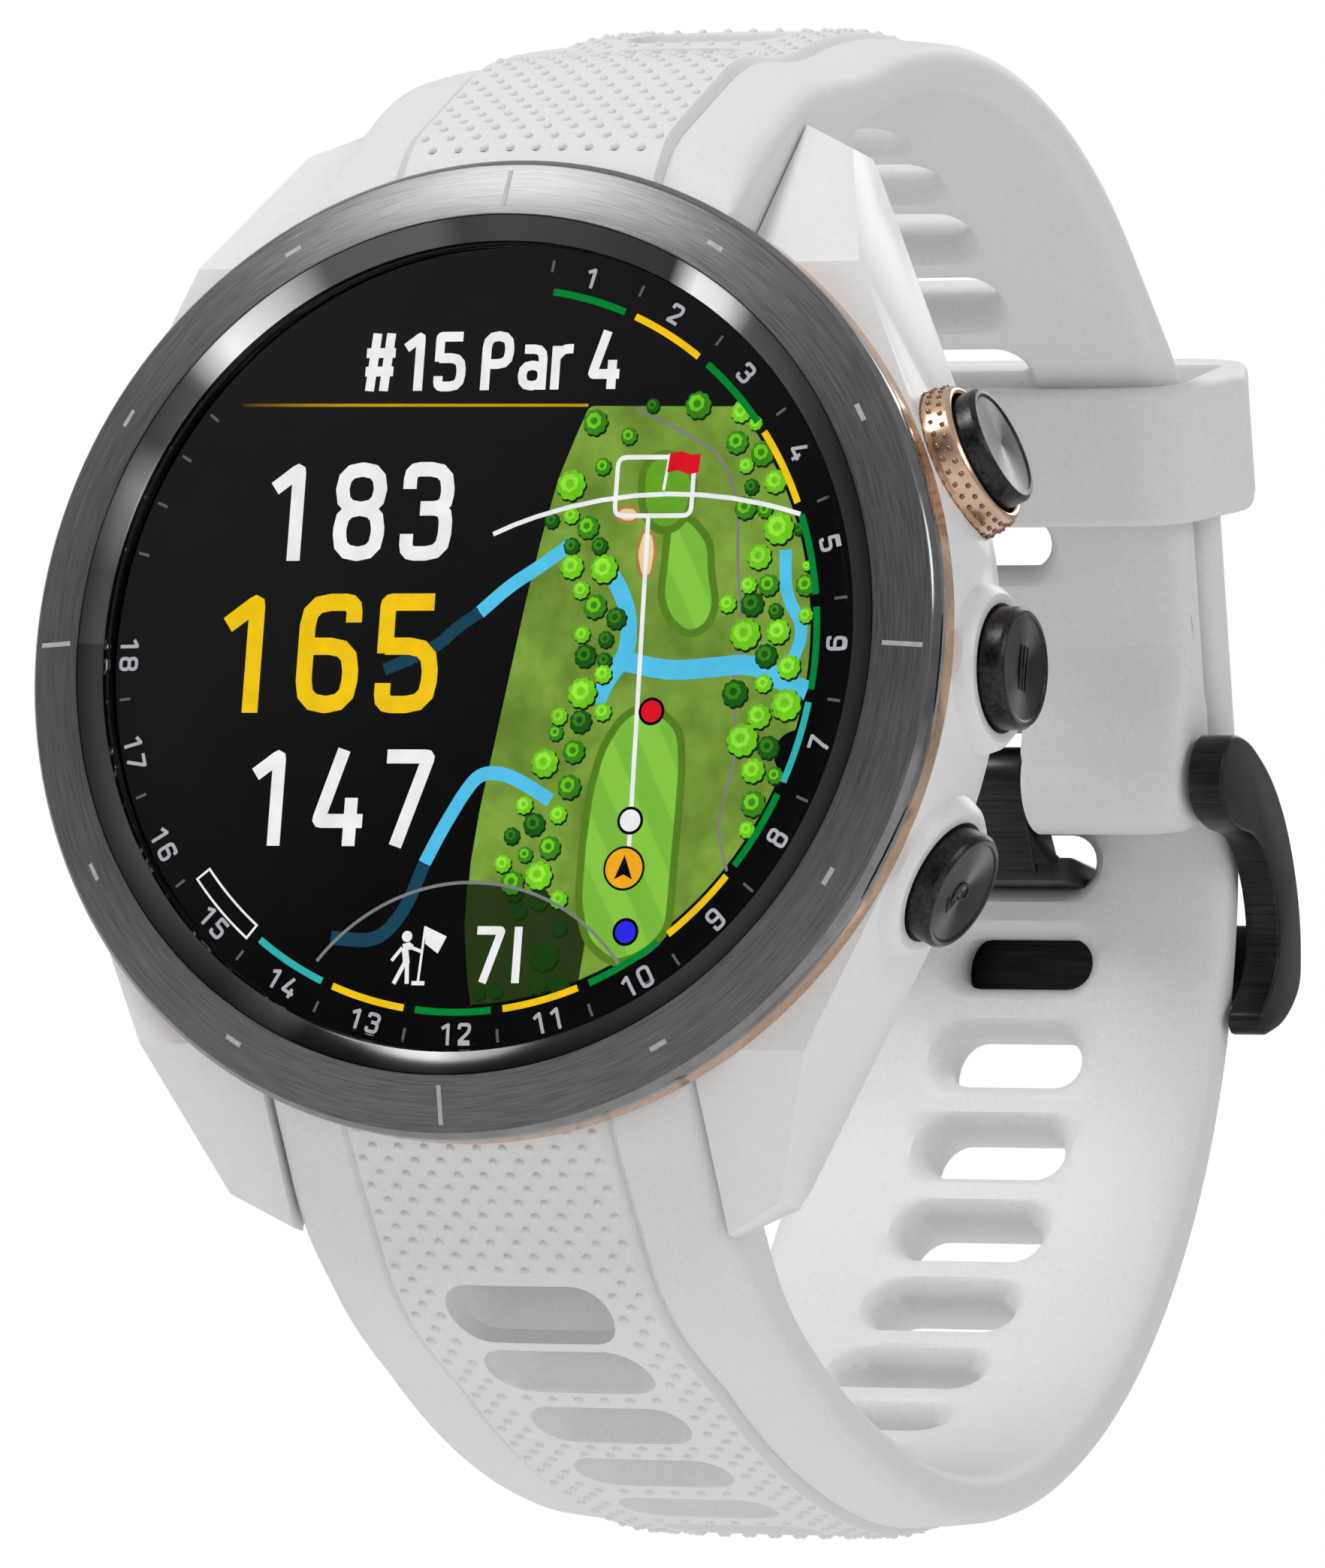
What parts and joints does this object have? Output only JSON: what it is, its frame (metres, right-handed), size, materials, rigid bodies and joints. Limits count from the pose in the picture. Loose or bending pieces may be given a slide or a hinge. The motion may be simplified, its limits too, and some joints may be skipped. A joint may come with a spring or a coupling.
{
  "type": "golf gps watch",
  "caption": "Round white golf GPS watch with a brushed dark bezel, gold ring, side push buttons and a slotted silicone strap closed by a black tang buckle and a keeper.",
  "frame": {"origin": "middle of the flat sensor window on the case back, on the dial axis", "axes": "+X to 3 o'clock and the buttons, +Z to 12 o'clock, +Y from the dial towards the wrist and the buckle"},
  "size_m": [0.0441, 0.067, 0.0654],
  "materials": {
    "dark_ceramic": "brushed dark grey",
    "rose_gold": "polished rose gold plating",
    "lens_glass": "clear coated glass",
    "display_black": "black display",
    "seal_rubber": "matt",
    "white_case": "satin white",
    "light_alloy": "machined",
    "copper_strip": "stamped copper",
    "circuit_board": "solder mask",
    "shield_steel": "tinned steel",
    "battery_foil": "matt foil",
    "flex_film": "amber film",
    "switch_black": "moulded",
    "black_metal": "black coated, brushed",
    "spring_steel": "drawn",
    "screw_steel": "plain",
    "sensor_glass": "dark optical window",
    "port_black": "moulded",
    "contact_gold": "gold plated",
    "white_silicone": "satin moulded silicone"
  },
  "bodies": {
    "watch": {"bezel": "dark_ceramic", "accent_ring": "rose_gold", "action_button_guard": "rose_gold", "lens_glass": "lens_glass", "display_panel": "display_black", "lens_gasket": "seal_rubber", "back_gasket": "seal_rubber", "case_body": "white_case", "back_cover": "white_case", "chassis_plate": "light_alloy", "gps_antenna": "copper_strip", "main_board": "circuit_board", "processor_shield": "shield_steel", "battery": "battery_foil", "vibration_motor": "shield_steel", "button_flex": "flex_film", "action_switch": "switch_black", "menu_switch": "switch_black", "back_switch": "switch_black", "action_button_seal": "seal_rubber", "menu_button_seal": "seal_rubber", "back_button_seal": "seal_rubber", "action_button_spring": "spring_steel", "menu_button_spring": "spring_steel", "back_button_spring": "spring_steel", "back_screws": "screw_steel", "sensor_window": "sensor_glass", "sensor_board": "circuit_board", "charge_port": "port_black", "charge_contacts": "contact_gold", "upper_strap": "white_silicone", "lower_strap": "white_silicone", "upper_spring_bar": "spring_steel", "lower_spring_bar": "spring_steel", "upper_bar_spring": "spring_steel", "lower_bar_spring": "spring_steel", "buckle_pin": "spring_steel"},
    "action_button": {"action_button": "black_metal", "action_button_clip": "spring_steel"},
    "menu_button": {"menu_button": "black_metal", "menu_button_clip": "spring_steel"},
    "back_button": {"back_button": "black_metal", "back_button_clip": "spring_steel"},
    "upper_release": {"upper_quick_release": "spring_steel"},
    "lower_release": {"lower_quick_release": "spring_steel"},
    "keeper": {"strap_keeper": "white_silicone"},
    "buckle_frame": {"buckle_frame": "black_metal"},
    "buckle_tongue": {"buckle_tongue": "black_metal"}
  },
  "joints": [
    {"name": "action_press", "type": "slide", "parent": "watch", "child": "action_button", "axis": [-0.91, 0, -0.4147], "range_m": [0, 0.00045], "stiffness_N_per_m": 1500, "springref_m": -0.0006, "deforming": ["action_button_spring"]},
    {"name": "menu_press", "type": "slide", "parent": "watch", "child": "menu_button", "axis": [-1, 0, 0], "range_m": [0, 0.00045], "stiffness_N_per_m": 1500, "springref_m": -0.0006, "deforming": ["menu_button_spring"]},
    {"name": "back_press", "type": "slide", "parent": "watch", "child": "back_button", "axis": [-0.9078, 0, 0.4195], "range_m": [0, 0.00045], "stiffness_N_per_m": 1500, "springref_m": -0.0006, "deforming": ["back_button_spring"]},
    {"name": "upper_quick_release_slide", "type": "slide", "parent": "watch", "child": "upper_release", "axis": [-1, 0, 0], "range_m": [0, 0.0014], "stiffness_N_per_m": 400, "springref_m": -0.001, "deforming": ["upper_bar_spring"]},
    {"name": "lower_quick_release_slide", "type": "slide", "parent": "watch", "child": "lower_release", "axis": [-1, 0, 0], "range_m": [0, 0.0014], "stiffness_N_per_m": 400, "springref_m": -0.001, "deforming": ["lower_bar_spring"]},
    {"name": "keeper_slide", "type": "slide", "parent": "watch", "child": "keeper", "axis": [0, 0.342, -0.9397], "range_m": [0, 0.006]},
    {"name": "buckle_frame_swing", "type": "hinge", "parent": "watch", "child": "buckle_frame", "pos_m": [0, 0.04539, 0.00387], "axis": [1, 0, 0], "range_deg": [0, 60]},
    {"name": "buckle_tongue_play", "type": "hinge", "parent": "watch", "child": "buckle_tongue", "pos_m": [0, 0.04539, 0.00387], "axis": [1, 0, 0], "range_deg": [-2.5, 2.5]}
  ]
}
